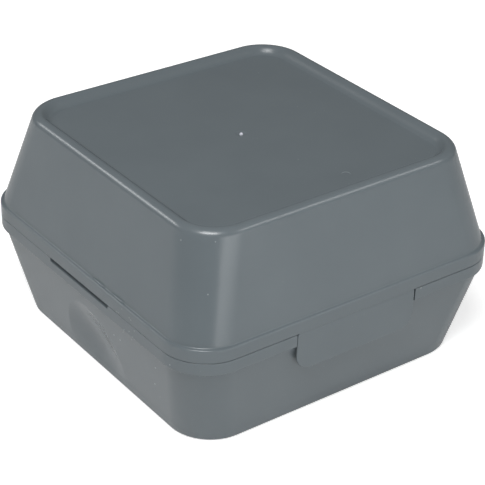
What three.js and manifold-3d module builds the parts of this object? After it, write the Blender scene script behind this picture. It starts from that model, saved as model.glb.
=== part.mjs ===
// A reusable, square burger box in injection-moulded polypropylene, shown shut.
// Millimetres, +Z up. The box stands on z = 0 with its latch towards -Y and its hinge towards +Y.
// The tapered base and the tapered lid meet at a seam between two raised bands. A tab on the lid's
// front edge folds down over the base, and two thin straps join lid and base along the back.

import * as THREE from "three";
import { mergeVertices } from "three/addons/utils/BufferGeometryUtils.js";
import Module from "manifold-3d";

const wasm = await Module();
wasm.setup();

// Overall form
const boxWidth = 135; // along X, over the bands
const boxDepth = 136; // along Y, over the bands and without the hinge straps
const baseHeight = 38.9; // from the table to the seam
const lidHeight = 41.1; // from the seam to the top of the lid's rim
const baseFootWidth = 118; // width of the base's wall where it would meet the table
const lidTopWidth = 114.6; // width of the lid's wall where it would meet the rim's top
const cornerRadius = 16.2; // upright corners of both tapered walls, the same at every height
const wall = 1.4; // thickness of the walls, the floor and the lid's panel

// Bands along the seam
const bandHeight = 5; // each band, lid's and base's
const bandProud = 1.2; // how far the bands stand out from the tapered walls
const bandEdge = 0.35; // rounding of the bands' edges
const bandFillet = 0.5; // hollow rounding where a wall meets its band
const seamGap = 0.4; // between the two bands when the box is shut

// Lip under the lid, and the rebate in the base's rim that it drops into
const rebateDepth = 3.4; // below the seam
const rimThickness = 1.5; // of the base's rim beside the rebate
const lipClearance = 0.35; // between the lip and the rim
const lipSeatGap = 0.4; // between the lip and the rebate's floor
const lipChamfer = 0.4; // lead-in on the lip's outer edge

// Foot of the base
const footEdge = 1.2; // rounding of the lower outer edge
const footRingWidth = 6; // flat ring that the box stands on
const footRecess = 0.6; // how far the underside is raised inside the ring
const floorRadius = 3; // hollow rounding between the floor and the walls inside

// Rim and panel on top of the lid
const rimEdge = 2.2; // rounding of the lid's upper outer edge
const panelInset = 7.2; // from the lid's wall to the foot of the rim's inner slope
const panelDrop = 2.8; // from the rim's top down to the panel
const slopeFootRun = 0.7; // pull of the slope's curve at its foot, level
const slopeFootRise = 0.5; // and upright
const slopeTopRun = 1.6; // pull of the slope's curve at the rim's top
const rimUnderShift = 0.9; // how much further in the rim's groove lies inside the lid
const panelUnderShift = 0.5; // how much further out the slope's foot lies inside the lid
const gateRadius = 2.2; // dimple in the middle of the panel, left by moulding
const gateDepth = 0.35;
const gateStubRadius = 0.5; // small stub in the dimple, at its foot
const gateStubTipRadius = 0.35;
const gateStubHeight = 0.45;

// Vent slot and finger scoop on each side
const gripCentreY = 1; // both lie this far behind the middle
const slotLength = 38;
const slotDepth = 2.1; // below the seam
const slotCorner = 1; // rounding of the slot's lower corners
const slotLipMargin = 1.5; // how much further the lid's lip is cut away at each end
const scoopWidth = 38; // at its foot, just above the rounding of the base's lower edge
const scoopTop = 10.5; // top of the arch, below the seam
const scoopDepth = 2; // at the middle of its height
const scoopCrown = 0.4; // half of the arch's blunt top
const scoopShoulder = 2.4; // how square the arch's shoulders are; 2 makes half an oval
const scoopSkin = 0.02; // keeps the edges of the hollow and of its bulge just off the wall's faces
const scoopBulgeStart = 0.01; // share of the scoop's height below which there is no bulge

// Latch tab on the lid
const tabWidth = 50.6;
const tabHeight = 15; // below the seam
const tabThickness = 1.3;
const tabCorner = 6; // rounding of its two lower corners
const tabSideGap = 1.3; // to each end of the cut-out in the base's band
const tabWallGap = 0.3; // between the tab and the wall behind it
const tabEdge = 0.35; // rounding of its outer edges
const tabWebThickness = 0.4; // thin web that the tab folds on
const tabWebHeight = 0.7;
const beadProud = 0.35; // snap bead on the tab's inner face
const beadHeight = 1;
const beadDepthBelowSeam = 10.2; // middle of the bead
const beadLength = 30;
const catchProud = 0.32; // rib on the base's wall that the bead snaps under
const catchHeight = 0.8;
const catchDepthBelowSeam = 8.4; // middle of the rib
const catchLength = 36;
const ribRoot = 0.5; // how deep the bead and the rib start inside what carries them

// Film hinge at the back: two straps, each a thin leaf on the base and one on the lid
const strapLength = 26;
const strapCentreX = 24; // to each side of the middle
const strapThickness = 0.5;
const strapReach = 0.95; // how far a leaf stands out from the bands
const strapGap = 0.15; // from a leaf's end to the line that the lid turns about

// Fineness of the curved surfaces
const cornerSteps = 10; // around each upright corner
const edgeSteps = 2; // small roundings of the bands
const arcSteps = 4;
const slopeSteps = 7; // inner slope of the lid's rim
const scoopSteps = 14;
const tabEdgeSteps = 3; // roundings of the tab's outer edges
const gateSteps = 16; // around the dimple and its stub
const smallestRadius = 0.5; // no upright corner gets sharper than this
const weldDistance = 1e-4; // points closer than this are one

// Worked out from the sizes above
const halfWidth = boxWidth / 2 - bandProud; // to the walls, at the height of the bands
const halfDepth = boxDepth / 2 - bandProud;
const footZ = -baseHeight;
const topZ = lidHeight;
const baseDraft = (halfWidth - baseFootWidth / 2) / (baseHeight - bandHeight);
const lidDraft = (halfWidth - lidTopWidth / 2) / (lidHeight - bandHeight);
const baseWall = wall * Math.hypot(1, baseDraft); // the wall's thickness measured level
const lidWall = wall * Math.hypot(1, lidDraft);
const rimTop = -seamGap / 2;
const bandFoot = seamGap / 2;
const rebateInset = rimThickness - bandProud;
const lipInset = rebateInset + lipClearance;
const lipFoot = -rebateDepth + lipSeatGap;
const frontY = -boxDepth / 2;
const backY = boxDepth / 2;
const hingeY = backY + strapReach + strapGap;
const scoopFootZ = footZ + footEdge;
const tabInnerY = frontY + tabThickness;
const tabWallY = tabInnerY + tabWallGap;
const cutoutHalf = tabWidth / 2 + tabSideGap;
const cutoutFoot = -bandHeight - (tabWallY - frontY - bandProud) / baseDraft;
const overshoot = 1; // how far a cutter runs past the face that it cuts
const quarterTurn = Math.PI / 2;
const halfTurn = Math.PI;

// How far the tapered wall has come in at height z, measured from the seam
function inset(z) {
  if (z < -bandHeight) return (-bandHeight - z) * baseDraft;
  if (z > bandHeight) return (z - bandHeight) * lidDraft;
  return 0;
}

// Solids and meshes

// Solid of a closed geometry, with its faces turned outwards whichever way they were listed
function solidOf(geometry) {
  const bare = geometry.index ? geometry.toNonIndexed() : geometry.clone();
  bare.deleteAttribute("normal");
  bare.deleteAttribute("uv");
  const merged = mergeVertices(bare, weldDistance);
  const vertProperties = merged.attributes.position.array;
  const triVerts = new Uint32Array(merged.index.array);
  const solid = new wasm.Manifold(new wasm.Mesh({ numProp: 3, vertProperties, triVerts }));
  if (solid.volume() > 0) return solid;
  triVerts.reverse();
  return new wasm.Manifold(new wasm.Mesh({ numProp: 3, vertProperties, triVerts }));
}

function solidFrom(positions, index) {
  const geometry = new THREE.BufferGeometry();
  geometry.setAttribute("position", new THREE.Float32BufferAttribute(positions, 3));
  geometry.setIndex(index);
  return solidOf(geometry);
}

function geometryOf(solid) {
  const mesh = solid.getMesh();
  const geometry = new THREE.BufferGeometry();
  geometry.setAttribute("position", new THREE.BufferAttribute(mesh.vertProperties, 3));
  geometry.setIndex(new THREE.BufferAttribute(mesh.triVerts, 1));
  geometry.computeVertexNormals();
  return geometry;
}

function joined(first, ...others) {
  return others.reduce((sum, other) => sum.add(other), first);
}

function cutBy(first, ...others) {
  return others.reduce((rest, other) => rest.subtract(other), first);
}

function block(x0, x1, y0, y1, z0, z1) {
  const geometry = new THREE.BoxGeometry(x1 - x0, y1 - y0, z1 - z0);
  geometry.translate((x0 + x1) / 2, (y0 + y1) / 2, (z0 + z1) / 2);
  return solidOf(geometry);
}

// Closed ring of points around a rectangle with rounded corners, counter-clockwise from above
function ring(halfX, halfY, radius, z) {
  const points = [];
  const corners = [[1, 1], [-1, 1], [-1, -1], [1, -1]];
  corners.forEach(([signX, signY], corner) => {
    for (let step = 0; step <= cornerSteps; step++) {
      const angle = (corner + step / cornerSteps) * quarterTurn;
      const x = signX * (halfX - radius) + radius * Math.cos(angle);
      const y = signY * (halfY - radius) + radius * Math.sin(angle);
      points.push([x, y, z]);
    }
  });
  return points;
}

// Shell swept around the box from a profile. The profile's x is the distance in from the tapered
// wall's outer face, its y is the height above the seam. It runs from the middle of one side of
// the shell, over the rim, to the middle of the other side.
function shell(profile) {
  const rings = profile.map((point) => {
    const level = inset(THREE.MathUtils.clamp(point.y, footZ, topZ));
    const halfX = halfWidth - level - point.x;
    const halfY = halfDepth - level - point.x;
    return ring(halfX, halfY, Math.max(cornerRadius - point.x, smallestRadius), point.y);
  });
  const count = rings[0].length;
  const positions = rings.flat(2);
  const index = [];
  for (let row = 0; row + 1 < rings.length; row++) {
    for (let i = 0; i < count; i++) {
      const a = row * count + i;
      const b = row * count + ((i + 1) % count);
      index.push(a, b, b + count, a, b + count, a + count);
    }
  }
  for (const [row, turned] of [[0, true], [rings.length - 1, false]]) {
    const middle = positions.length / 3;
    positions.push(0, 0, rings[row][0][2]);
    for (let i = 0; i < count; i++) {
      const a = row * count + i;
      const b = row * count + ((i + 1) % count);
      index.push(...(turned ? [middle, b, a] : [middle, a, b]));
    }
  }
  return solidFrom(positions, index);
}

// Closed patch between two sheets of points, each given by a function of two numbers from 0 to 1
function patch(outer, inner, stepsU, stepsV) {
  const positions = [];
  const index = [];
  const at = (sheet, i, j) => (sheet * (stepsU + 1) + i) * (stepsV + 1) + j;
  for (const sheet of [outer, inner]) {
    for (let i = 0; i <= stepsU; i++) {
      for (let j = 0; j <= stepsV; j++) positions.push(...sheet(i / stepsU, j / stepsV));
    }
  }
  const quad = (a, b, c, d) => index.push(a, b, c, a, c, d);
  for (let i = 0; i < stepsU; i++) {
    for (let j = 0; j < stepsV; j++) {
      quad(at(0, i, j), at(0, i + 1, j), at(0, i + 1, j + 1), at(0, i, j + 1));
      quad(at(1, i, j), at(1, i, j + 1), at(1, i + 1, j + 1), at(1, i + 1, j));
    }
  }
  for (let i = 0; i < stepsU; i++) {
    quad(at(0, i, 0), at(1, i, 0), at(1, i + 1, 0), at(0, i + 1, 0));
    quad(at(0, i, stepsV), at(0, i + 1, stepsV), at(1, i + 1, stepsV), at(1, i, stepsV));
  }
  for (let j = 0; j < stepsV; j++) {
    quad(at(0, 0, j), at(0, 0, j + 1), at(1, 0, j + 1), at(1, 0, j));
    quad(at(0, stepsU, j), at(1, stepsU, j), at(1, stepsU, j + 1), at(0, stepsU, j + 1));
  }
  return solidFrom(positions, index);
}

// Points of a profile
const point = (x, y) => new THREE.Vector2(x, y);

function arc(centreX, centreY, radius, from, to, steps) {
  const clockwise = to < from;
  const curve = new THREE.EllipseCurve(centreX, centreY, radius, radius, from, to, clockwise);
  return curve.getPoints(steps);
}

function bend(start, startPull, endPull, end, steps) {
  return new THREE.CubicBezierCurve(start, startPull, endPull, end).getPoints(steps);
}

// Base

function baseProfile() {
  const bandX = bandEdge - bandProud; // centres of the band's edge roundings
  const floorX = baseWall + floorRadius;
  const floorZ = footZ + footRecess + wall;
  return [
    point(footRingWidth + footRecess, footZ + footRecess),
    point(footRingWidth, footZ),
    ...arc(footEdge, footZ + footEdge, footEdge, -quarterTurn, -halfTurn, arcSteps),
    ...arc(-bandFillet, -bandHeight - bandFillet, bandFillet, 0, quarterTurn, edgeSteps),
    ...arc(bandX, bandEdge - bandHeight, bandEdge, -quarterTurn, -halfTurn, edgeSteps),
    ...arc(bandX, rimTop - bandEdge, bandEdge, halfTurn, quarterTurn, edgeSteps),
    point(rebateInset, rimTop),
    point(rebateInset, -rebateDepth),
    point(baseWall, -rebateDepth),
    ...arc(floorX, floorZ + floorRadius, floorRadius, halfTurn, halfTurn + quarterTurn, arcSteps),
  ];
}

// The scoop's depth at a place given by how far across (-1 to 1) and how far up (0 to 1) it is.
// It fades to nothing at the foot, at the top of the arch and at both sides.
function scoopDip(across, up) {
  return scoopDepth * 4 * up * (1 - up) * (1 - across * across);
}

// The arch: upright at the foot, closing in half an oval at the top
function scoopHalfWidth(up) {
  return Math.max((scoopWidth / 2) * Math.sqrt(1 - up ** scoopShoulder), scoopCrown);
}

// Sheet of points that follows the scoop on one side of the base, a given depth into the wall,
// from a share of the scoop's height upwards
function scoopSheet(side, from, depthAt) {
  return (u, v) => {
    const across = 2 * u - 1;
    const up = THREE.MathUtils.lerp(from, 1, Math.sin(v * quarterTurn));
    const z = THREE.MathUtils.lerp(scoopFootZ, -scoopTop, up);
    const y = gripCentreY + across * scoopHalfWidth(up);
    return [side * (halfWidth - inset(z) - depthAt(across, up)), y, z];
  };
}

// The hollow cut into the wall's outer face, and the bulge that keeps the wall's thickness inside
function scoop(side) {
  const hollow = (across, up) => scoopDip(across, up) - scoopSkin;
  const cutter = patch(
    scoopSheet(side, 0, () => -overshoot),
    scoopSheet(side, 0, hollow),
    scoopSteps,
    scoopSteps,
  );
  const bulge = patch(
    scoopSheet(side, scoopBulgeStart, () => baseWall / 2),
    scoopSheet(side, scoopBulgeStart, (across, up) => baseWall + hollow(across, up)),
    scoopSteps,
    scoopSteps,
  );
  return { cutter, bulge };
}

// Slot through the rim, drawn on the side face and run through it along X
function slotCutter(side) {
  const half = slotLength / 2;
  const outline = new THREE.Shape();
  outline.moveTo(-half, overshoot);
  outline.lineTo(-half, -slotDepth + slotCorner);
  const cornerY = -slotDepth + slotCorner;
  outline.absarc(-half + slotCorner, cornerY, slotCorner, halfTurn, 3 * quarterTurn);
  outline.absarc(half - slotCorner, cornerY, slotCorner, 3 * quarterTurn, 2 * halfTurn);
  outline.lineTo(half, overshoot);
  const length = rimThickness + 2 * overshoot;
  const geometry = new THREE.ExtrudeGeometry(outline, {
    depth: length,
    bevelEnabled: false,
    curveSegments: arcSteps,
  });
  geometry.rotateX(quarterTurn);
  geometry.rotateZ(quarterTurn);
  const outerX = side * (boxWidth / 2 + overshoot);
  geometry.translate(side > 0 ? outerX - length : outerX, gripCentreY, 0);
  return solidOf(geometry);
}

// Leaf of a hinge strap on the base (below the seam) or on the lid (above it)
function strapLeaf(x, z0) {
  const half = strapLength / 2;
  return block(x - half, x + half, backY - bandProud, backY + strapReach, z0, z0 + strapThickness);
}

// Rib along X with a rounded nose towards the outside or the inside, standing out from a wall
function rib(length, height, proud, wallY, z, direction) {
  const root = -direction * ribRoot;
  const outline = new THREE.Shape();
  outline.moveTo(root, -height / 2);
  outline.lineTo(0, -height / 2);
  outline.quadraticCurveTo(direction * proud * 2, 0, 0, height / 2);
  outline.lineTo(root, height / 2);
  const geometry = new THREE.ExtrudeGeometry(outline, {
    depth: length,
    bevelEnabled: false,
    curveSegments: 2 * arcSteps,
  });
  geometry.rotateX(quarterTurn);
  geometry.rotateZ(quarterTurn);
  geometry.translate(-length / 2, wallY, z);
  return solidOf(geometry);
}

function base() {
  const scoops = [scoop(-1), scoop(1)];
  const cutout = block(-cutoutHalf, cutoutHalf, frontY - overshoot, tabWallY, cutoutFoot, overshoot);
  const wallHalf = cutoutHalf + rimThickness;
  const wallFrontY = frontY + rimThickness / 2;
  const tabWall = block(-wallHalf, wallHalf, wallFrontY, tabWallY + wall, cutoutFoot, rimTop);
  const catchY = frontY + bandProud + inset(-catchDepthBelowSeam);
  const catchRib = rib(catchLength, catchHeight, catchProud, catchY, -catchDepthBelowSeam, -1);
  const leafZ = rimTop - strapThickness;
  return joined(
    cutBy(
      joined(shell(baseProfile()), tabWall, ...scoops.map((one) => one.bulge)),
      ...scoops.map((one) => one.cutter),
      slotCutter(-1),
      slotCutter(1),
      cutout,
    ),
    catchRib,
    strapLeaf(-strapCentreX, leafZ),
    strapLeaf(strapCentreX, leafZ),
  );
}

// Lid

function lidProfile() {
  const bandX = bandEdge - bandProud; // centres of the band's edge roundings
  const panelZ = topZ - panelDrop;
  const underZ = topZ - wall; // the same rim and panel seen from inside
  const underPanelZ = panelZ - wall;
  const underX = rimEdge + rimUnderShift;
  const slopeFoot = point(panelInset, panelZ);
  const slopeFootPull = point(panelInset - slopeFootRun, panelZ + slopeFootRise);
  const slopeTopPull = point(rimEdge + slopeTopRun, topZ);
  const underFootX = panelInset - panelUnderShift;
  const underFoot = point(underFootX, underPanelZ);
  const underFootPull = point(underFootX - slopeFootRun, underPanelZ + slopeFootRise);
  const underTop = point(underX, underZ);
  const underTopPull = point(underX + slopeTopRun / 2, underZ);
  return [
    ...bend(slopeFoot, slopeFootPull, slopeTopPull, point(rimEdge, topZ), slopeSteps),
    ...arc(rimEdge, topZ - rimEdge, rimEdge, quarterTurn, halfTurn, arcSteps),
    ...arc(-bandFillet, bandHeight + bandFillet, bandFillet, 0, -quarterTurn, edgeSteps),
    ...arc(bandX, bandHeight - bandEdge, bandEdge, quarterTurn, halfTurn, edgeSteps),
    ...arc(bandX, bandFoot + bandEdge, bandEdge, halfTurn, halfTurn + quarterTurn, edgeSteps),
    point(lipInset, bandFoot),
    point(lipInset, lipFoot + lipChamfer),
    point(lipInset + lipChamfer / 2, lipFoot),
    point(lidWall, lipFoot),
    ...arc(underX, underZ - (underX - lidWall), underX - lidWall, halfTurn, quarterTurn, arcSteps),
    ...bend(underTop, underTopPull, underFootPull, underFoot, slopeSteps),
  ];
}

// Everything of the lip between two places along one side is cut away with this
function lipCutter(x0, x1, y0, y1) {
  return block(x0, x1, y0, y1, lipFoot - overshoot, bandFoot);
}

function gateDimple(z) {
  const points = [];
  for (let step = 0; step <= arcSteps; step++) {
    const share = step / arcSteps;
    points.push(point(gateRadius * share, -gateDepth * (1 - share ** 2)));
  }
  points.push(point(gateRadius, overshoot), point(0, overshoot));
  const geometry = new THREE.LatheGeometry(points, gateSteps);
  geometry.rotateX(quarterTurn);
  geometry.translate(0, 0, z);
  return solidOf(geometry);
}

function gateStub(z) {
  const root = z - gateDepth - wall / 2;
  const height = z - gateDepth + gateStubHeight - root;
  const geometry = new THREE.CylinderGeometry(gateStubTipRadius, gateStubRadius, height, gateSteps);
  geometry.rotateX(quarterTurn);
  geometry.translate(0, 0, root + height / 2);
  return solidOf(geometry);
}

function lid() {
  const lipReach = bandProud + lidWall + overshoot;
  const sideX = boxWidth / 2;
  const slotHalf = slotLength / 2 + slotLipMargin;
  const tabHalf = cutoutHalf + rimThickness + lipClearance;
  const panelZ = topZ - panelDrop;
  const lipCuts = [
    lipCutter(-sideX, -sideX + lipReach, gripCentreY - slotHalf, gripCentreY + slotHalf),
    lipCutter(sideX - lipReach, sideX, gripCentreY - slotHalf, gripCentreY + slotHalf),
    lipCutter(-tabHalf, tabHalf, frontY, frontY + lipReach),
  ];
  return joined(
    cutBy(shell(lidProfile()), ...lipCuts, gateDimple(panelZ)),
    gateStub(panelZ),
    strapLeaf(-strapCentreX, bandFoot),
    strapLeaf(strapCentreX, bandFoot),
  );
}

// Latch tab, modelled about its fold line: the upper edge of its outer face

function tab() {
  const half = tabWidth / 2;
  const flatHalf = half - tabEdge; // inside the edge roundings
  const flatTop = rimTop - tabWebHeight - tabEdge;
  const cornerX = half - tabCorner;
  const cornerY = -tabHeight + tabCorner;
  const outline = new THREE.Shape();
  outline.moveTo(-flatHalf, flatTop);
  outline.lineTo(-flatHalf, cornerY);
  outline.absarc(-cornerX, cornerY, tabCorner - tabEdge, halfTurn, 3 * quarterTurn);
  outline.absarc(cornerX, cornerY, tabCorner - tabEdge, 3 * quarterTurn, 2 * halfTurn);
  outline.lineTo(flatHalf, flatTop);
  const plate = new THREE.ExtrudeGeometry(outline, {
    depth: tabThickness - 2 * tabEdge,
    bevelEnabled: true,
    bevelThickness: tabEdge,
    bevelSize: tabEdge,
    bevelSegments: tabEdgeSteps,
    curveSegments: 2 * arcSteps,
  });
  plate.rotateX(quarterTurn);
  plate.translate(0, tabThickness - tabEdge, 0);
  const web = block(-flatHalf, flatHalf, tabEdge, tabEdge + tabWebThickness, flatTop, rimTop);
  const bead = rib(beadLength, beadHeight, beadProud, tabThickness, -beadDepthBelowSeam, 1);
  return joined(solidOf(plate), web, bead);
}

// The assembled box

const plastic = { color: 0x737b7f, roughness: 0.42, metalness: 0 };

function named(name, solid) {
  const mesh = new THREE.Mesh(geometryOf(solid), new THREE.MeshStandardMaterial(plastic));
  mesh.name = name;
  return mesh;
}

const shut = new THREE.Group(); // origin in the middle of the seam
shut.position.set(0, -strapReach / 2, baseHeight);

const lidPivot = new THREE.Group(); // the lid turns about this line at the back
lidPivot.position.set(0, hingeY, 0);

const tabPivot = new THREE.Group(); // the tab folds about this line at the front of the lid
tabPivot.position.set(0, frontY - hingeY, 0);

const lidMesh = named("lid", lid());
lidMesh.position.set(0, -hingeY, 0);
tabPivot.add(named("latch_tab", tab()));
lidPivot.add(lidMesh, tabPivot);
shut.add(named("base", base()), lidPivot);

const burgerBox = new THREE.Group();
burgerBox.name = "burger_box";
burgerBox.add(shut);

export default burgerBox;
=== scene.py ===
"""A square burger box in satin grey polypropylene: base, lid, latch tab and their thin folds.

Sizes are in metres. The pieces are modelled about the middle of the seam, with heights measured
from it, and settled into the frame when they are done.
"""

import math

import bmesh
import bpy
from mathutils import Matrix, Vector


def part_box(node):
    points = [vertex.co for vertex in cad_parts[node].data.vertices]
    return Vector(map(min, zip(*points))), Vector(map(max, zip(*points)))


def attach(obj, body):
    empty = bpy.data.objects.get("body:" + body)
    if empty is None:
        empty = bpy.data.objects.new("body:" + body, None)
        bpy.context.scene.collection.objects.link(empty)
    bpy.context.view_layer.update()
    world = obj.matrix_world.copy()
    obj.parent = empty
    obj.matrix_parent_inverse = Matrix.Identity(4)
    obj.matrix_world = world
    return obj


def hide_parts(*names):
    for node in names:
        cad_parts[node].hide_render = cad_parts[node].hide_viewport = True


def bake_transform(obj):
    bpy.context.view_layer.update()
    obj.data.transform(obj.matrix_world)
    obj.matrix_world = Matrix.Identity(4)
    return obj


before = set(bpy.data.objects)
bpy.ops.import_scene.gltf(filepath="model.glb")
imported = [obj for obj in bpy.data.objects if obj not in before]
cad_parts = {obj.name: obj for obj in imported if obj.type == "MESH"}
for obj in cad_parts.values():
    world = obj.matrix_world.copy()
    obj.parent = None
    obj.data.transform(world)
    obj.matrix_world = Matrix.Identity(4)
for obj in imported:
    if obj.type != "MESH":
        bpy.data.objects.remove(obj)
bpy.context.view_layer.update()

base_low, base_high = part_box("base")
lid_low, lid_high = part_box("lid")
tab_low, tab_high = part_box("latch_tab")

# Places taken from the frame
SEAM_GAP = 0.0004
STRAP_REACH = 0.00095
SEAM_Z = base_high.z + SEAM_GAP / 2
FRONT_Y = base_low.y
BACK_Y = base_high.y - STRAP_REACH
MIDDLE = Vector((0, (FRONT_Y + BACK_Y) / 2, SEAM_Z))
BAND_X = base_high.x
BAND_Y = (BACK_Y - FRONT_Y) / 2
FOOT = base_low.z - SEAM_Z
TOP = lid_high.z - SEAM_Z

# Walls and bands
WALL = 0.0014
CORNER = 0.0162
BASE_FOOT_WIDTH = 0.118
LID_TOP_WIDTH = 0.1146
BAND_HEIGHT = 0.005
BAND_PROUD = 0.0012
BAND_EDGE = 0.0007
BAND_FILLET = 0.0004
SEAM_EDGE = 0.0002
WALL_X = BAND_X - BAND_PROUD
WALL_Y = BAND_Y - BAND_PROUD
BASE_DRAFT = (WALL_X - BASE_FOOT_WIDTH / 2) / (-FOOT - BAND_HEIGHT)
LID_DRAFT = (WALL_X - LID_TOP_WIDTH / 2) / (TOP - BAND_HEIGHT)
BASE_WALL = WALL * math.hypot(1, BASE_DRAFT)
LID_WALL = WALL * math.hypot(1, LID_DRAFT)
SHOWN_GAP = 0.00016  # the solids keep SEAM_GAP between them
RIM_TOP = -SHOWN_GAP / 2
BAND_FOOT = SHOWN_GAP / 2

# Lip under the lid, and the rebate that it drops into
REBATE_DEPTH = 0.0034
RIM_THICKNESS = 0.0015
REBATE_INSET = RIM_THICKNESS - BAND_PROUD
LIP_CLEARANCE = 0.00035
LIP_INSET = REBATE_INSET + LIP_CLEARANCE
LIP_FOOT = lid_low.z - SEAM_Z
LIP_CHAMFER = 0.0004

# Foot and floor of the base
FOOT_EDGE = 0.0012
FOOT_RING = 0.006
FOOT_RECESS = 0.0006
FLOOR_ROUND = 0.003

# Rim and panel of the lid
RIM_EDGE = 0.0022
PANEL_INSET = 0.0072
PANEL_DROP = 0.0028
SLOPE_FOOT_RUN = 0.0014
SLOPE_FOOT_RISE = 0.0001
SLOPE_TOP_RUN = 0.0016
RIM_UNDER_SHIFT = 0.0009
PANEL_UNDER_SHIFT = 0.0005
GATE_RADIUS = 0.0022
GATE_DEPTH = 0.00035
GATE_STUB_RADIUS = 0.00065
GATE_STUB_HEIGHT = 0.0006
STUB_TAPER = 0.7
STUB_ROUND = GATE_STUB_RADIUS / 4
LUMP_PLACES = (-0.011, -0.023)
LUMP_SIZE = (0.0007, 0.0042, 0.0005)

# Slot and finger scoop on each side
GRIP_Y = 0.001
SLOT_LENGTH = 0.038
SLOT_DEPTH = 0.0014
SLOT_CORNER = 0.0007
SLOT_LIP_MARGIN = 0.0015
SCOOP_WIDTH = 0.038
SCOOP_TOP = 0.0105
SCOOP_DEPTH = 0.002
SCOOP_CROWN = 0.0004
SCOOP_SHOULDER = 2.4
SCOOP_SKIN = 0.00002
SCOOP_BLEND = 1.4

# Latch tab, its cut-out, and the bead and rib that snap past each other
TAB_HALF = tab_high.x
TAB_FOOT = tab_low.z - SEAM_Z
TAB_THICKNESS = 0.001
TAB_CORNER = 0.006
TAB_SIDE_GAP = 0.0004
TAB_EDGE = 0.00045
FOLD_DEPTH = 0.0001
TAB_WEB_THICKNESS = 0.0004
TAB_WEB_HEIGHT = 0.0002
FOLD_OVERLAP = WALL / 4
TAB_WALL_Y = -WALL_Y
CUTOUT_HALF = TAB_HALF + TAB_SIDE_GAP
CUTOUT_FOOT = -BAND_HEIGHT - BAND_FILLET
BEAD = {"half": 0.015, "height": 0.001, "proud": 0.00065, "below": 0.0102}
CATCH = {"half": 0.018, "height": 0.0008, "proud": 0.00032, "below": 0.0084}

# Straps of the film hinge at the back
STRAP_LENGTH = 0.026
STRAP_X = 0.024
STRAP_THICKNESS = 0.0004
STRAP_HALF_HEIGHT = 0.0021
STRAP_FULLNESS = 4

# Fineness
CORNER_STEPS = 24
EDGE_STEPS = 5
ROUND_STEPS = 10
SCOOP_STEPS = 48
BALL_SEGMENTS = 48
BALL_RINGS = 96
SOFT_EDGE = 0.00012
SOFT_STEPS = 2
SMOOTH_ANGLE = math.radians(38)
NORMAL_WEIGHT = 100
OVERSHOOT = 0.001
TINY = 1e-6

# Look of the plastic, and the places of its small marks in the frame
PLASTIC_DARK = (0.128, 0.151, 0.164, 1)
PLASTIC_LIGHT = (0.136, 0.160, 0.173, 1)
DUST = (0.5, 0.52, 0.53, 1)
# Lighter colour painted at and around the gate stub's tip
STUB_TIP_LIGHT = (0.66, 0.67, 0.74, 1)
SLOT_RUB = (-BAND_X, -0.029, 0.037)
SPECK_REACH = 0.0004
SPECKS = (
    (-0.0645, -0.0172, 0.0254),
    (-0.0645, -0.0211, 0.0255),
    (-0.0628, -0.0399, 0.0176),
    (-0.0670, -0.0551, 0.0356),
    (-0.0648, -0.0433, 0.0268),
    (-0.0578, -0.0477, 0.0754),
    (-0.0557, -0.0598, 0.0607),
    (0.0281, -0.0685, 0.0384),
)
PANEL_Z = lid_high.z - PANEL_DROP
SCRATCH_CENTRE = (0.0115, -0.0448, PANEL_Z)
SCRATCH_TOP = (0.0124, -0.0436, PANEL_Z)
SCRATCH_RADIUS = 0.0015
SCRATCH_WIDTH = 0.00025
SCRATCH_REACH = 0.0026
GATE_TIP = (MIDDLE.x, MIDDLE.y, PANEL_Z - GATE_DEPTH + GATE_STUB_HEIGHT)
GATE_REACH = 0.0011
MARK_SHARE = 0.3
MARK_ROUGHNESS = 0.6
CLOUD_SCALE = 38
FINE_SCALE = 900
GRAIN_SCALE = 4200
DUST_SPACING = 0.0095
DUST_SIZE = 0.00026
RUB_SPACING = 0.0011
RUB_SIZE = 0.00028
RUB_REACH = 0.009
GLOSSIEST = 0.2
DULLEST = 0.3
PLASTIC_IOR = 1.49
TONE_LOW = 0.3
TONE_HIGH = 0.7
DUST_SHARE = 0.2
RUB_SHARE = 0.4
STUB_FULLNESS = 3
SWELL_STRENGTH = 0.35
SWELL_DEPTH = 0.0004
SKIN_STRENGTH = 0.25
SKIN_DEPTH = 0.00002

# Floor and light: each softbox has its turn from the front, its turn up from the table,
# its width, its height and its power
FLOOR_SIZE = 6
FLOOR_WHITE = (0.9, 0.9, 0.9, 1)
FLOOR_LIFT = 0.6
WORLD_LIGHT = 0.13
LAMP_DISTANCE = 0.9
SOFTBOXES = {
    "left_high": (311, 58, 0.4, 0.3, 5.6),
    "front_low": (3, 8, 0.72, 0.25, 1.7),
    "right_front": (42, 40, 0.4, 0.2, 1.1),
    "back_left": (220, 31, 0.4, 0.18, 1.6),
}

# Camera at the photograph's viewing angle, with its focal length and centre in pixels
IMAGE = 485
SENSOR_WIDTH = 36
NEAREST = 0.01
FOCAL_PIXELS = 1655.0
CENTRE_PIXEL = (241.6146, 242.3588)
AZIMUTH = math.radians(-36.7392)
ELEVATION = math.radians(30.2846)
ROLL = math.radians(1.3951)
UNIT = BAND_X
DISTANCE = 8.9196 * UNIT
ASIDE = 0.0158 * UNIT
ABOVE = -0.0779 * UNIT


def draft_at(height):
    """How far the tapered wall has come in at a height."""
    if height < -BAND_HEIGHT:
        return (-BAND_HEIGHT - height) * BASE_DRAFT
    if height > BAND_HEIGHT:
        return (height - BAND_HEIGHT) * LID_DRAFT
    return 0.0


def arc(across, height, radius, start, end, steps):
    """Points of a round stretch of a section, from one angle in degrees to another."""
    turns = [math.radians(start + (end - start) * step / steps) for step in range(steps + 1)]
    return [(across + radius * math.cos(t), height + radius * math.sin(t)) for t in turns]


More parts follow.
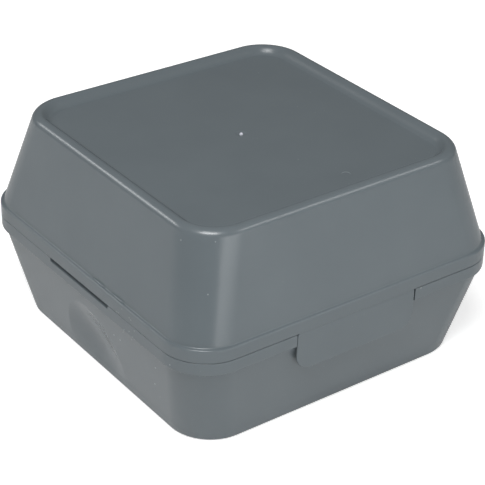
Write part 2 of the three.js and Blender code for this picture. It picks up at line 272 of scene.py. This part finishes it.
def bend(start, start_pull, end_pull, end, steps):
    """Points of a section along a curve with a pull at each end."""
    points = []
    for step in range(steps + 1):
        t = step / steps
        weights = ((1 - t) ** 3, 3 * t * (1 - t) ** 2, 3 * t * t * (1 - t), t ** 3)
        pulls = (start, start_pull, end_pull, end)
        points.append(tuple(sum(w * p[axis] for w, p in zip(weights, pulls)) for axis in (0, 1)))
    return points


# Modelling steps

def new_piece(name):
    """Names the primitive that was just added, and opens it for editing with all of it selected."""
    piece = bpy.context.object
    piece.name = name
    piece.data.name = name
    bpy.ops.object.transform_apply(location=True, rotation=True, scale=True)
    bpy.ops.object.mode_set(mode="EDIT")
    bpy.ops.mesh.select_mode(type="VERT")
    bpy.ops.mesh.select_all(action="SELECT")
    return piece


def close_editing():
    """Back to whole objects."""
    bpy.ops.object.mode_set(mode="OBJECT")


def choose(piece, test):
    """Selects the points whose place passes the test, with the edges and faces between them."""
    mesh = bmesh.from_edit_mesh(piece.data)
    for face in mesh.faces:
        face.select = False
    for edge in mesh.edges:
        edge.select = False
    for vertex in mesh.verts:
        vertex.select = test(vertex.co)
    mesh.select_flush(True)
    bmesh.update_edit_mesh(piece.data)


def choose_edges(piece, test):
    """Selects the edges whose two ends pass the test together."""
    mesh = bmesh.from_edit_mesh(piece.data)
    for vertex in mesh.verts:
        vertex.select = False
    for face in mesh.faces:
        face.select = False
    for edge in mesh.edges:
        edge.select = False
    for edge in mesh.edges:
        if test(edge.verts[0].co, edge.verts[1].co):
            edge.select_set(True)
    bmesh.update_edit_mesh(piece.data)


def start_line(name, place):
    """New piece that is one selected point, ready to be extruded into a line."""
    bpy.ops.object.select_all(action="DESELECT")
    bpy.ops.mesh.primitive_plane_add(size=WALL, location=place)
    piece = new_piece(name)
    bpy.ops.mesh.merge(type="CENTER")
    return piece


def draw_line(piece_start, places):
    """Extrudes the selected point through the places, one after the other."""
    last = Vector(piece_start)
    for place in places:
        step = Vector(place) - last
        if step.length > TINY:
            bpy.ops.mesh.extrude_vertices_move(TRANSFORM_OT_translate={"value": step})
            last = Vector(place)


def apply_modifier(piece, kind, **settings):
    """Adds a modifier to the piece and applies it."""
    select_only(piece)
    modifier = piece.modifiers.new(kind.lower(), kind)
    for name, value in settings.items():
        setattr(modifier, name, value)
    bpy.ops.object.modifier_apply(modifier=modifier.name)


def select_only(piece):
    """Makes the piece the only one selected, and the active one."""
    bpy.ops.object.select_all(action="DESELECT")
    piece.select_set(True)
    bpy.context.view_layer.objects.active = piece


def combine(piece, tool, operation):
    """Joins the tool to the piece or cuts it away, and removes the tool."""
    apply_modifier(piece, "BOOLEAN", operation=operation, solver="EXACT", object=tool)
    bpy.data.objects.remove(tool)


def block(name, low, high):
    """Box between two corners, left open for editing."""
    low, high = Vector(low), Vector(high)
    bpy.ops.object.select_all(action="DESELECT")
    bpy.ops.mesh.primitive_cube_add(size=1, location=(low + high) / 2, scale=high - low)
    return new_piece(name)


def swept_shell(name, section):
    """Shell whose section is spun round one corner, run to the middle planes and mirrored.

    The section's places are (distance in from the tapered wall's face, height above the seam).
    """
    corner_x = WALL_X - CORNER
    corner_y = WALL_Y - CORNER
    places = [(WALL_X - inward, corner_y, height) for inward, height in section]
    piece = start_line(name, places[0])
    draw_line(places[0], places[1:])
    bpy.ops.mesh.select_all(action="SELECT")
    bpy.ops.mesh.spin(
        steps=CORNER_STEPS,
        angle=-math.pi / 2,
        center=(corner_x, corner_y, 0),
        axis=(0, 0, 1),
    )
    choose(piece, lambda place: place.x < corner_x + TINY)
    bpy.ops.mesh.extrude_region_move(TRANSFORM_OT_translate={"value": (-corner_x, 0, 0)})
    choose(piece, lambda place: abs(place.y - corner_y) < TINY and place.x > corner_x)
    bpy.ops.mesh.extrude_region_move(TRANSFORM_OT_translate={"value": (0, -corner_y, 0)})
    draw_in(piece, sorted({height for _, height in section}))
    close_editing()
    apply_modifier(
        piece, "MIRROR", use_axis=(True, True, False), merge_threshold=TINY
    )
    return piece


def draw_in(piece, heights):
    """Gives the upright walls their draft, level by level."""
    for height in heights:
        draft = draft_at(height)
        if draft < TINY:
            continue
        for axis in (0, 1):
            choose(
                piece,
                lambda place: abs(place.z - height) < TINY / 2 and place[axis] > TINY,
            )
            step = Vector((-draft, 0, 0)) if axis == 0 else Vector((0, -draft, 0))
            bpy.ops.transform.translate(value=step)


def cap(piece, height):
    """Closes the open loop at a height with one flat face."""
    select_only(piece)
    bpy.ops.object.mode_set(mode="EDIT")
    bpy.ops.mesh.select_mode(type="VERT")
    mesh = bmesh.from_edit_mesh(piece.data)
    bpy.ops.mesh.select_all(action="DESELECT")
    for edge in mesh.edges:
        if edge.is_boundary and all(abs(v.co.z - height) < TINY for v in edge.verts):
            edge.select_set(True)
    bmesh.update_edit_mesh(piece.data)
    bpy.ops.mesh.edge_face_add()
    close_editing()


def turn_faces_out(piece):
    """Merges what lies together and turns every face to the outside."""
    select_only(piece)
    bpy.ops.object.mode_set(mode="EDIT")
    bpy.ops.mesh.select_all(action="SELECT")
    bpy.ops.mesh.remove_doubles(threshold=TINY)
    bpy.ops.mesh.normals_make_consistent(inside=False)
    close_editing()


def settle(piece, body):
    """Moves the finished piece from the middle of the seam into the frame, on its body."""
    select_only(piece)
    bpy.ops.object.mode_set(mode="EDIT")
    bpy.ops.mesh.select_all(action="SELECT")
    bpy.ops.transform.translate(value=MIDDLE)
    close_editing()
    bpy.ops.object.shade_smooth_by_angle(angle=SMOOTH_ANGLE)
    apply_modifier(piece, "WEIGHTED_NORMAL", keep_sharp=True, weight=NORMAL_WEIGHT)
    if body:
        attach(piece, body)


def soften_edges(piece):
    """Small rounding on what is still sharp."""
    apply_modifier(
        piece,
        "BEVEL",
        width=SOFT_EDGE,
        segments=SOFT_STEPS,
        limit_method="ANGLE",
        angle_limit=SMOOTH_ANGLE,
        harden_normals=False,
    )


# Base

def base_section():
    """Half section of the tray: foot, wall, band, rim with its rebate, and down to the floor."""
    band_x = BAND_EDGE - BAND_PROUD
    seam_x = SEAM_EDGE - BAND_PROUD
    floor_x = BASE_WALL + FLOOR_ROUND
    floor_z = FOOT + FOOT_RECESS + WALL
    return [
        (FOOT_RING + FOOT_RECESS, FOOT + FOOT_RECESS),
        (FOOT_RING, FOOT),
        *arc(FOOT_EDGE, FOOT + FOOT_EDGE, FOOT_EDGE, -90, -180, ROUND_STEPS),
        *arc(-BAND_FILLET, -BAND_HEIGHT - BAND_FILLET, BAND_FILLET, 0, 90, EDGE_STEPS),
        *arc(band_x, BAND_EDGE - BAND_HEIGHT, BAND_EDGE, -90, -180, EDGE_STEPS),
        *arc(seam_x, RIM_TOP - SEAM_EDGE, SEAM_EDGE, 180, 90, EDGE_STEPS),
        (REBATE_INSET, RIM_TOP),
        (REBATE_INSET, -REBATE_DEPTH),
        (BASE_WALL, -REBATE_DEPTH),
        *arc(floor_x, floor_z + FLOOR_ROUND, FLOOR_ROUND, 180, 270, ROUND_STEPS),
    ]


def scoop_half_width(up):
    """Half the scoop's width at a share of its height: upright at the foot, closing in an arch."""
    return max(SCOOP_WIDTH / 2 * math.sqrt(1 - up ** SCOOP_SHOULDER), SCOOP_CROWN)


def scoop_solid(name, side, inner_depth, outer_depth):
    """Solid with the scoop's dish as its inner face and a flat outer face, at depths in the wall.

    A grid gets its even dish from a formula, which no run of edit steps gives as well.
    """
    bpy.ops.object.select_all(action="DESELECT")
    bpy.ops.mesh.primitive_grid_add(x_subdivisions=SCOOP_STEPS, y_subdivisions=SCOOP_STEPS, size=2)
    piece = new_piece(name)
    foot = FOOT + FOOT_EDGE
    mesh = bmesh.from_edit_mesh(piece.data)
    for vertex in mesh.verts:
        across = vertex.co.x
        up = math.sin((vertex.co.y + 1) / 2 * math.pi / 2)
        dip = SCOOP_DEPTH * (4 * up * (1 - up) * (1 - across * across)) ** SCOOP_BLEND
        height = foot + up * (-SCOOP_TOP - foot)
        x = WALL_X - draft_at(height) - inner_depth - dip + SCOOP_SKIN
        vertex.co = (side * x, GRIP_Y + across * scoop_half_width(up), height)
    bmesh.update_edit_mesh(piece.data)
    bpy.ops.mesh.select_all(action="SELECT")
    bpy.ops.mesh.extrude_region_move(TRANSFORM_OT_translate={"value": (side * WALL, 0, 0)})
    mesh = bmesh.from_edit_mesh(piece.data)
    for vertex in mesh.verts:
        if vertex.select:
            vertex.co.x = side * (WALL_X - draft_at(vertex.co.z) - outer_depth)
    bmesh.update_edit_mesh(piece.data)
    close_editing()
    turn_faces_out(piece)
    return piece


def slot_cutter(side):
    """Slot through the rim, with rounded lower corners."""
    half = SLOT_LENGTH / 2
    inner = WALL_X - REBATE_INSET - OVERSHOOT
    outer = BAND_X + OVERSHOOT
    low_x, high_x = sorted((side * inner, side * outer))
    piece = block(
        "slot", (low_x, GRIP_Y - half, -SLOT_DEPTH), (high_x, GRIP_Y + half, OVERSHOOT)
    )

    def at_foot(place):
        return abs(place.z + SLOT_DEPTH) < TINY

    choose_edges(piece, lambda a, b: at_foot(a) and at_foot(b) and abs(a.y - b.y) < TINY)
    bpy.ops.mesh.bevel(offset=SLOT_CORNER, segments=EDGE_STEPS, affect="EDGES")
    close_editing()
    turn_faces_out(piece)
    return piece


def nosed_rib(name, rib, wall_y, direction):
    """Rib along X with a rounded nose, standing out from a wall that faces forwards or back."""
    half, below = rib["half"], rib["below"]
    root = wall_y - direction * WALL / 2
    nose = direction * rib["proud"]
    places = [(-half, root, -below - rib["height"] / 2)]
    for step in range(EDGE_STEPS * 2 + 1):
        turn = math.pi * step / (EDGE_STEPS * 2)
        y = wall_y + nose * math.sin(turn)
        places.append((-half, y, -below - rib["height"] / 2 * math.cos(turn)))
    places.append((-half, root, -below + rib["height"] / 2))
    piece = start_line(name, places[0])
    draw_line(places[0], places[1:])
    bpy.ops.mesh.select_all(action="SELECT")
    bpy.ops.mesh.edge_face_add()
    bpy.ops.mesh.extrude_region_move(TRANSFORM_OT_translate={"value": (2 * half, 0, 0)})
    close_editing()
    turn_faces_out(piece)
    return piece


def make_base():
    """Tray with its band, the latch's cut-out and catch, and a slot and a scoop on each side."""
    section = base_section()
    base = swept_shell("box_base", section)
    cap(base, section[0][1])
    cap(base, section[-1][1])
    turn_faces_out(base)
    wall_half = CUTOUT_HALF + RIM_THICKNESS
    tab_wall = block(
        "tab_wall",
        (-wall_half, TAB_WALL_Y + REBATE_INSET / 2, CUTOUT_FOOT),
        (wall_half, TAB_WALL_Y + WALL, RIM_TOP),
    )
    close_editing()
    combine(base, tab_wall, "UNION")
    cutout = block(
        "cutout", (-CUTOUT_HALF, -BAND_Y - OVERSHOOT, CUTOUT_FOOT), (CUTOUT_HALF, TAB_WALL_Y, OVERSHOOT)
    )
    close_editing()
    for side in (-1, 1):
        combine(base, scoop_solid("bulge", side, BASE_WALL, BASE_WALL / 2), "UNION")
        combine(base, scoop_solid("scoop", side, 0, -OVERSHOOT), "DIFFERENCE")
        combine(base, slot_cutter(side), "DIFFERENCE")
    combine(base, cutout, "DIFFERENCE")
    catch_y = -BAND_Y + BAND_PROUD + draft_at(-CATCH["below"])
    combine(base, nosed_rib("catch_rib", CATCH, catch_y, -1), "UNION")
    soften_edges(base)
    settle(base, "base")
    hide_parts("base")
    return base


# Lid

def lid_section():
    """Half section of the lid: panel, rim, wall, band, lip, and back up to the panel."""
    band_x = BAND_EDGE - BAND_PROUD
    seam_x = SEAM_EDGE - BAND_PROUD
    panel = TOP - PANEL_DROP
    under_top = TOP - WALL
    under_panel = panel - WALL
    under_x = RIM_EDGE + RIM_UNDER_SHIFT
    under_round = under_x - LID_WALL
    under_foot_x = PANEL_INSET - PANEL_UNDER_SHIFT
    return [
        *bend(
            (PANEL_INSET, panel),
            (PANEL_INSET - SLOPE_FOOT_RUN, panel + SLOPE_FOOT_RISE),
            (RIM_EDGE + SLOPE_TOP_RUN, TOP),
            (RIM_EDGE, TOP),
            2 * ROUND_STEPS,
        ),
        *arc(RIM_EDGE, TOP - RIM_EDGE, RIM_EDGE, 90, 180, ROUND_STEPS),
        *arc(-BAND_FILLET, BAND_HEIGHT + BAND_FILLET, BAND_FILLET, 0, -90, EDGE_STEPS),
        *arc(band_x, BAND_HEIGHT - BAND_EDGE, BAND_EDGE, 90, 180, EDGE_STEPS),
        *arc(seam_x, BAND_FOOT + SEAM_EDGE, SEAM_EDGE, 180, 270, EDGE_STEPS),
        (LIP_INSET, BAND_FOOT),
        (LIP_INSET, LIP_FOOT + LIP_CHAMFER),
        (LIP_INSET + LIP_CHAMFER / 2, LIP_FOOT),
        (LID_WALL, LIP_FOOT),
        *arc(under_x, under_top - under_round, under_round, 180, 90, ROUND_STEPS),
        *bend(
            (under_x, under_top),
            (under_x + SLOPE_TOP_RUN / 2, under_top),
            (under_foot_x - SLOPE_FOOT_RUN, under_panel + SLOPE_FOOT_RISE),
            (under_foot_x, under_panel),
            ROUND_STEPS,
        ),
    ]


def gate_mark(lid):
    """Shallow dimple in the middle of the panel, with the broken stub of the sprue in it."""
    panel = TOP - PANEL_DROP
    ball = (GATE_RADIUS ** 2 + GATE_DEPTH ** 2) / (2 * GATE_DEPTH)
    bpy.ops.object.select_all(action="DESELECT")
    bpy.ops.mesh.primitive_uv_sphere_add(
        segments=BALL_SEGMENTS,
        ring_count=BALL_RINGS,
        radius=ball,
        location=(0, 0, panel - GATE_DEPTH + ball),
    )
    dimple = new_piece("dimple")
    close_editing()
    combine(lid, dimple, "DIFFERENCE")
    foot = panel - GATE_DEPTH - WALL / 2
    top = panel - GATE_DEPTH + GATE_STUB_HEIGHT
    bpy.ops.object.select_all(action="DESELECT")
    bpy.ops.mesh.primitive_cylinder_add(
        vertices=CORNER_STEPS,
        radius=GATE_STUB_RADIUS,
        depth=top - foot,
        location=(0, 0, (top + foot) / 2),
    )
    stub = new_piece("stub")
    choose(stub, lambda place: place.z > top - TINY)
    bpy.ops.transform.resize(value=(STUB_TAPER, STUB_TAPER, 1), center_override=(0, 0, top))
    bpy.ops.mesh.bevel(offset=STUB_ROUND, segments=SOFT_STEPS, affect="EDGES")
    close_editing()
    turn_faces_out(stub)
    combine(lid, stub, "UNION")


def ledge_lump(y):
    """Low, long swelling of the plastic on the left ledge, against the wall's foot."""
    bpy.ops.object.select_all(action="DESELECT")
    bpy.ops.mesh.primitive_uv_sphere_add(
        segments=CORNER_STEPS,
        ring_count=CORNER_STEPS,
        radius=1,
        location=(-WALL_X, y, BAND_HEIGHT + BAND_FILLET / 2),
        scale=LUMP_SIZE,
    )
    lump = new_piece("lump")
    close_editing()
    return lump


def make_lid():
    """Cover with its band, gaps in its lip for the slots and the latch, and the gate mark."""
    section = lid_section()
    lid = swept_shell("box_lid", section)
    cap(lid, section[0][1])
    cap(lid, section[-1][1])
    turn_faces_out(lid)
    reach = BAND_PROUD + LID_WALL + OVERSHOOT
    slot_half = SLOT_LENGTH / 2 + SLOT_LIP_MARGIN
    tab_half = CUTOUT_HALF + RIM_THICKNESS + LIP_CLEARANCE
    low, high = LIP_FOOT - OVERSHOOT, BAND_FOOT
    spans = [
        ((-BAND_X, GRIP_Y - slot_half, low), (-BAND_X + reach, GRIP_Y + slot_half, high)),
        ((BAND_X - reach, GRIP_Y - slot_half, low), (BAND_X, GRIP_Y + slot_half, high)),
        ((-tab_half, -BAND_Y, low), (tab_half, -BAND_Y + reach, high)),
    ]
    for low_corner, high_corner in spans:
        cutter = block("lip_cutter", low_corner, high_corner)
        close_editing()
        combine(lid, cutter, "DIFFERENCE")
    for y in LUMP_PLACES:
        combine(lid, ledge_lump(y), "UNION")
    gate_mark(lid)
    soften_edges(lid)
    settle(lid, "lid")
    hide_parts("lid")
    return lid


# Latch tab

def make_tab():
    """Plate with two rounded lower corners, soft outer edges and the snap bead, ending just below the
    band where the separate web meets it.
    """
    plate_top = RIM_TOP - TAB_WEB_HEIGHT
    inner_y = -BAND_Y + TAB_THICKNESS
    tab = block("box_latch_tab", (-TAB_HALF, -BAND_Y, TAB_FOOT), (TAB_HALF, inner_y, plate_top))
    choose_edges(
        tab,
        lambda a, b: a.z < plate_top - TINY and b.z < plate_top - TINY and abs(a.x - b.x) < TINY,
    )
    bpy.ops.mesh.bevel(offset=TAB_CORNER, segments=CORNER_STEPS // 2, affect="EDGES")
    choose_edges(tab, lambda a, b: abs(a.y - b.y) < TINY)
    bpy.ops.mesh.bevel(offset=TAB_EDGE, segments=EDGE_STEPS, affect="EDGES")
    close_editing()
    turn_faces_out(tab)
    combine(tab, nosed_rib("snap_bead", BEAD, inner_y, 1), "UNION")
    settle(tab, "latch_tab")
    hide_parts("latch_tab")
    return tab


def make_tab_fold():
    """Thin web that the tab folds on, from the lid's band down into the tab."""
    y = -BAND_Y + FOLD_DEPTH + TAB_WEB_THICKNESS / 2
    half = TAB_HALF - TAB_EDGE
    plate_top = RIM_TOP - TAB_WEB_HEIGHT
    top = BAND_FOOT + FOLD_OVERLAP
    foot = plate_top - FOLD_OVERLAP
    start = (-half, y, top)
    fold = start_line("latch_fold", start)
    heights = [top + (foot - top) * step / ROUND_STEPS for step in range(1, ROUND_STEPS + 1)]
    draw_line(start, [(-half, y, height) for height in heights])
    bpy.ops.mesh.select_all(action="SELECT")
    bpy.ops.mesh.extrude_region_move(TRANSFORM_OT_translate={"value": (2 * half, 0, 0)})
    close_editing()
    turn_faces_out(fold)
    apply_modifier(fold, "SOLIDIFY", thickness=TAB_WEB_THICKNESS, offset=0)
    settle(fold, None)
    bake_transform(fold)
    return fold


# Film hinge

def make_strap(name, x):
    """Strap of thin film that bows out from the base's band and back into the lid's."""
    low_x, high_x = x - STRAP_LENGTH / 2, x + STRAP_LENGTH / 2
    bow = STRAP_REACH - STRAP_THICKNESS / 2
    places = []
    for step in range(2 * ROUND_STEPS + 1):
        share = step / ROUND_STEPS - 1
        y = BAND_Y - STRAP_THICKNESS + (bow + STRAP_THICKNESS) * (1 - share ** STRAP_FULLNESS)
        places.append((low_x, y, STRAP_HALF_HEIGHT * share))
    strap = start_line(name, places[0])
    draw_line(places[0], places[1:])
    bpy.ops.mesh.select_all(action="SELECT")
    bpy.ops.mesh.extrude_region_move(TRANSFORM_OT_translate={"value": (high_x - low_x, 0, 0)})
    close_editing()
    turn_faces_out(strap)
    apply_modifier(strap, "SOLIDIFY", thickness=STRAP_THICKNESS, offset=0)
    settle(strap, None)
    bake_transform(strap)
    return strap


# Finish

def add_node(tree, kind, settings=None, **inputs):
    """Adds a node, sets its options, and gives its inputs a value or another node's output.

    An input goes by its name, or by i and its number.
    """
    node = tree.nodes.new(kind)
    for name, value in (settings or {}).items():
        setattr(node, name, value)
    for name, value in inputs.items():
        socket = node.inputs[int(name[1:])] if name[1:].isdigit() else node.inputs[name]
        if isinstance(value, bpy.types.NodeSocket):
            tree.links.new(value, socket)
        else:
            socket.default_value = value
    return node


def specks(tree, place, spacing, size, share):
    """Mask of small round marks, one in some of the cells of a given spacing."""
    cells = add_node(tree, "ShaderNodeTexVoronoi", Vector=place, Scale=1 / spacing)
    chosen = add_node(
        tree, "ShaderNodeMath", {"operation": "LESS_THAN"}, i0=cells.outputs["Color"], i1=share
    )
    dot = add_node(tree, "ShaderNodeMapRange", {"interpolation_type": "SMOOTHSTEP"})
    tree.links.new(cells.outputs["Distance"], dot.inputs["Value"])
    dot.inputs["From Min"].default_value = size / spacing
    dot.inputs["From Max"].default_value = size / spacing / 2
    both = add_node(
        tree, "ShaderNodeMath", {"operation": "MULTIPLY"}, i0=chosen.outputs[0], i1=dot.outputs[0]
    )
    return both.outputs[0]


def near(tree, place, centre, radius):
    """Mask that is 1 at a place and fades to 0 at a distance from it."""
    far = add_node(tree, "ShaderNodeVectorMath", {"operation": "DISTANCE"}, i0=place, i1=centre)
    fade = add_node(tree, "ShaderNodeMapRange", {"interpolation_type": "SMOOTHSTEP"})
    tree.links.new(far.outputs["Value"], fade.inputs["Value"])
    fade.inputs["From Min"].default_value = radius
    fade.inputs["From Max"].default_value = 0
    return fade.outputs[0]


def maths(tree, operation, a, b):
    """Result of one operation on two values."""
    return add_node(tree, "ShaderNodeMath", {"operation": operation}, i0=a, i1=b).outputs[0]


def mixed(tree, share, first, second):
    """Colour between two colours."""
    mix = add_node(tree, "ShaderNodeMix", {"data_type": "RGBA"}, i0=share, i6=first, i7=second)
    return mix.outputs[2]


def ring(tree, place, centre, radius, width):
    """Mask that is 1 at a distance from a place and fades to 0 on both sides of it."""
    far = add_node(tree, "ShaderNodeVectorMath", {"operation": "DISTANCE"}, i0=place, i1=centre)
    off = maths(tree, "ABSOLUTE", maths(tree, "SUBTRACT", far.outputs["Value"], radius), 0)
    fade = add_node(tree, "ShaderNodeMapRange", {"interpolation_type": "SMOOTHSTEP"}, Value=off)
    fade.inputs["From Min"].default_value = width
    fade.inputs["From Max"].default_value = 0
    return fade.outputs[0]


def satin_polypropylene():
    """Moulded grey polypropylene: satin, slightly cloudy, with fine grain, dust and light rubs."""
    material = bpy.data.materials.new("satin_grey_polypropylene")
    material.use_nodes = True
    tree = material.node_tree
    shader = tree.nodes["Principled BSDF"]
    place = add_node(tree, "ShaderNodeTexCoord").outputs["Object"]
    cloud = add_node(tree, "ShaderNodeTexNoise", Vector=place, Scale=CLOUD_SCALE, Detail=3, Roughness=0.5)
    fine = add_node(tree, "ShaderNodeTexNoise", Vector=place, Scale=FINE_SCALE, Detail=4, Roughness=0.6)
    grain = add_node(tree, "ShaderNodeTexNoise", Vector=place, Scale=GRAIN_SCALE, Detail=2, Roughness=0.5)

    tone = add_node(tree, "ShaderNodeMapRange", Value=cloud.outputs["Fac"])
    tone.inputs["From Min"].default_value = TONE_LOW
    tone.inputs["From Max"].default_value = TONE_HIGH
    body = mixed(tree, tone.outputs[0], PLASTIC_DARK, PLASTIC_LIGHT)

    dust = specks(tree, place, DUST_SPACING, DUST_SIZE, DUST_SHARE)
    for speck in SPECKS:
        dust = maths(tree, "MAXIMUM", dust, near(tree, place, speck, SPECK_REACH))
    rub = maths(
        tree,
        "MULTIPLY",
        specks(tree, place, RUB_SPACING, RUB_SIZE, RUB_SHARE),
        near(tree, place, SLOT_RUB, RUB_REACH),
    )
    scratch = maths(
        tree,
        "MULTIPLY",
        ring(tree, place, SCRATCH_CENTRE, SCRATCH_RADIUS, SCRATCH_WIDTH),
        near(tree, place, SCRATCH_TOP, SCRATCH_REACH),
    )
    light_marks = maths(tree, "MAXIMUM", maths(tree, "MAXIMUM", dust, rub), scratch)
    marks = maths(tree, "MULTIPLY", light_marks, MARK_SHARE)
    # The gate stub's tip and the panel close about it are painted a lighter colour
    at_tip = near(tree, place, GATE_TIP, GATE_REACH)
    stub = maths(tree, "MINIMUM", maths(tree, "MULTIPLY", at_tip, STUB_FULLNESS), 1)
    marked = mixed(tree, marks, body, DUST)
    stub_tip_lightened = mixed(tree, stub, marked, STUB_TIP_LIGHT)
    tree.links.new(stub_tip_lightened, shader.inputs["Base Color"])

    gloss = add_node(tree, "ShaderNodeMapRange", Value=fine.outputs["Fac"])
    gloss.inputs["To Min"].default_value = GLOSSIEST
    gloss.inputs["To Max"].default_value = DULLEST
    dulled = maths(tree, "MULTIPLY", marks, MARK_ROUGHNESS)
    rougher = maths(tree, "ADD", gloss.outputs[0], dulled)
    tree.links.new(rougher, shader.inputs["Roughness"])

    swell = add_node(tree, "ShaderNodeBump", Strength=SWELL_STRENGTH, Distance=SWELL_DEPTH)
    tree.links.new(cloud.outputs["Fac"], swell.inputs["Height"])
    skin = add_node(tree, "ShaderNodeBump", Strength=SKIN_STRENGTH, Distance=SKIN_DEPTH)
    tree.links.new(grain.outputs["Fac"], skin.inputs["Height"])
    tree.links.new(swell.outputs[0], skin.inputs["Normal"])
    tree.links.new(skin.outputs[0], shader.inputs["Normal"])
    shader.inputs["IOR"].default_value = PLASTIC_IOR
    return material


base = make_base()
lid = make_lid()
tab = make_tab()
tab_fold = make_tab_fold()
straps = [make_strap("hinge_strap_left", -STRAP_X), make_strap("hinge_strap_right", STRAP_X)]
plastic = satin_polypropylene()
for piece in (base, lid, tab, tab_fold, *straps):
    piece.data.materials.clear()
    piece.data.materials.append(plastic)


# Floor, backdrop and light

def pale_floor():
    """Wide white floor under the box. It looks white and keeps the soft shadow."""
    bpy.ops.object.select_all(action="DESELECT")
    bpy.ops.mesh.primitive_plane_add(size=FLOOR_SIZE)
    floor = new_piece("floor")
    close_editing()
    material = bpy.data.materials.new("white_floor")
    material.use_nodes = True
    tree = material.node_tree
    shader = tree.nodes["Principled BSDF"]
    shader.inputs["Base Color"].default_value = FLOOR_WHITE
    shader.inputs["Roughness"].default_value = 1
    shader.inputs["Specular IOR Level"].default_value = 0
    path = add_node(tree, "ShaderNodeLightPath")
    lift = maths(tree, "MULTIPLY", path.outputs["Is Camera Ray"], FLOOR_LIFT)
    tree.links.new(lift, shader.inputs["Emission Strength"])
    shader.inputs["Emission Color"].default_value = (1, 1, 1, 1)
    floor.data.materials.append(material)
    return floor


def softbox(name, side_turn, height_turn, width, height, power):
    """Rectangular lamp facing the box, turned to its right from the front and up from the table."""
    across, upward = math.radians(side_turn), math.radians(height_turn)
    direction = Vector((
        math.sin(across) * math.cos(upward),
        -math.cos(across) * math.cos(upward),
        math.sin(upward),
    ))
    middle = Vector((0, 0, SEAM_Z))
    lamp = bpy.data.lights.new(name, "AREA")
    lamp.shape = "RECTANGLE"
    lamp.size = width
    lamp.size_y = height
    lamp.energy = power
    holder = bpy.data.objects.new(name, lamp)
    bpy.context.scene.collection.objects.link(holder)
    holder.location = middle + direction * LAMP_DISTANCE
    holder.rotation_euler = (-direction).to_track_quat("-Z", "Y").to_euler()
    return holder


def white_room():
    """Even light from all sides, and pure white where the camera sees past the floor."""
    world = bpy.data.worlds.new("white_room")
    bpy.context.scene.world = world
    world.use_nodes = True
    world_tree = world.node_tree
    background = world_tree.nodes["Background"]
    seen = add_node(world_tree, "ShaderNodeLightPath")
    shown = add_node(world_tree, "ShaderNodeMapRange", Value=seen.outputs["Is Camera Ray"])
    shown.inputs["To Min"].default_value = WORLD_LIGHT
    shown.inputs["To Max"].default_value = 1
    world_tree.links.new(shown.outputs[0], background.inputs["Strength"])
    background.inputs["Color"].default_value = (1, 1, 1, 1)


pale_floor()
for name, setting in SOFTBOXES.items():
    softbox(name, *setting)
white_room()


# Camera at the photograph's viewing angle

def photo_camera():
    """Camera that sees the box as the photograph does."""
    back = Vector((
        math.sin(AZIMUTH) * math.cos(ELEVATION),
        -math.cos(AZIMUTH) * math.cos(ELEVATION),
        math.sin(ELEVATION),
    ))
    level_right = Vector((0, 0, 1)).cross(back).normalized()
    level_up = back.cross(level_right)
    right = level_right * math.cos(ROLL) + level_up * math.sin(ROLL)
    up = level_up * math.cos(ROLL) - level_right * math.sin(ROLL)
    lens = bpy.data.cameras.new("photo_view")
    lens.sensor_width = SENSOR_WIDTH
    lens.lens = FOCAL_PIXELS * lens.sensor_width / IMAGE
    lens.shift_x = (IMAGE / 2 - CENTRE_PIXEL[0]) / IMAGE
    lens.shift_y = (CENTRE_PIXEL[1] - IMAGE / 2) / IMAGE
    lens.clip_start = NEAREST
    camera = bpy.data.objects.new("photo_view", lens)
    bpy.context.scene.collection.objects.link(camera)
    turn = Matrix((right, up, back)).transposed().to_4x4()
    eye = MIDDLE + back * DISTANCE + level_right * ASIDE + level_up * ABOVE
    camera.matrix_world = Matrix.Translation(eye) @ turn
    bpy.context.scene.camera = camera


photo_camera()
bpy.context.scene.view_settings.view_transform = "Standard"
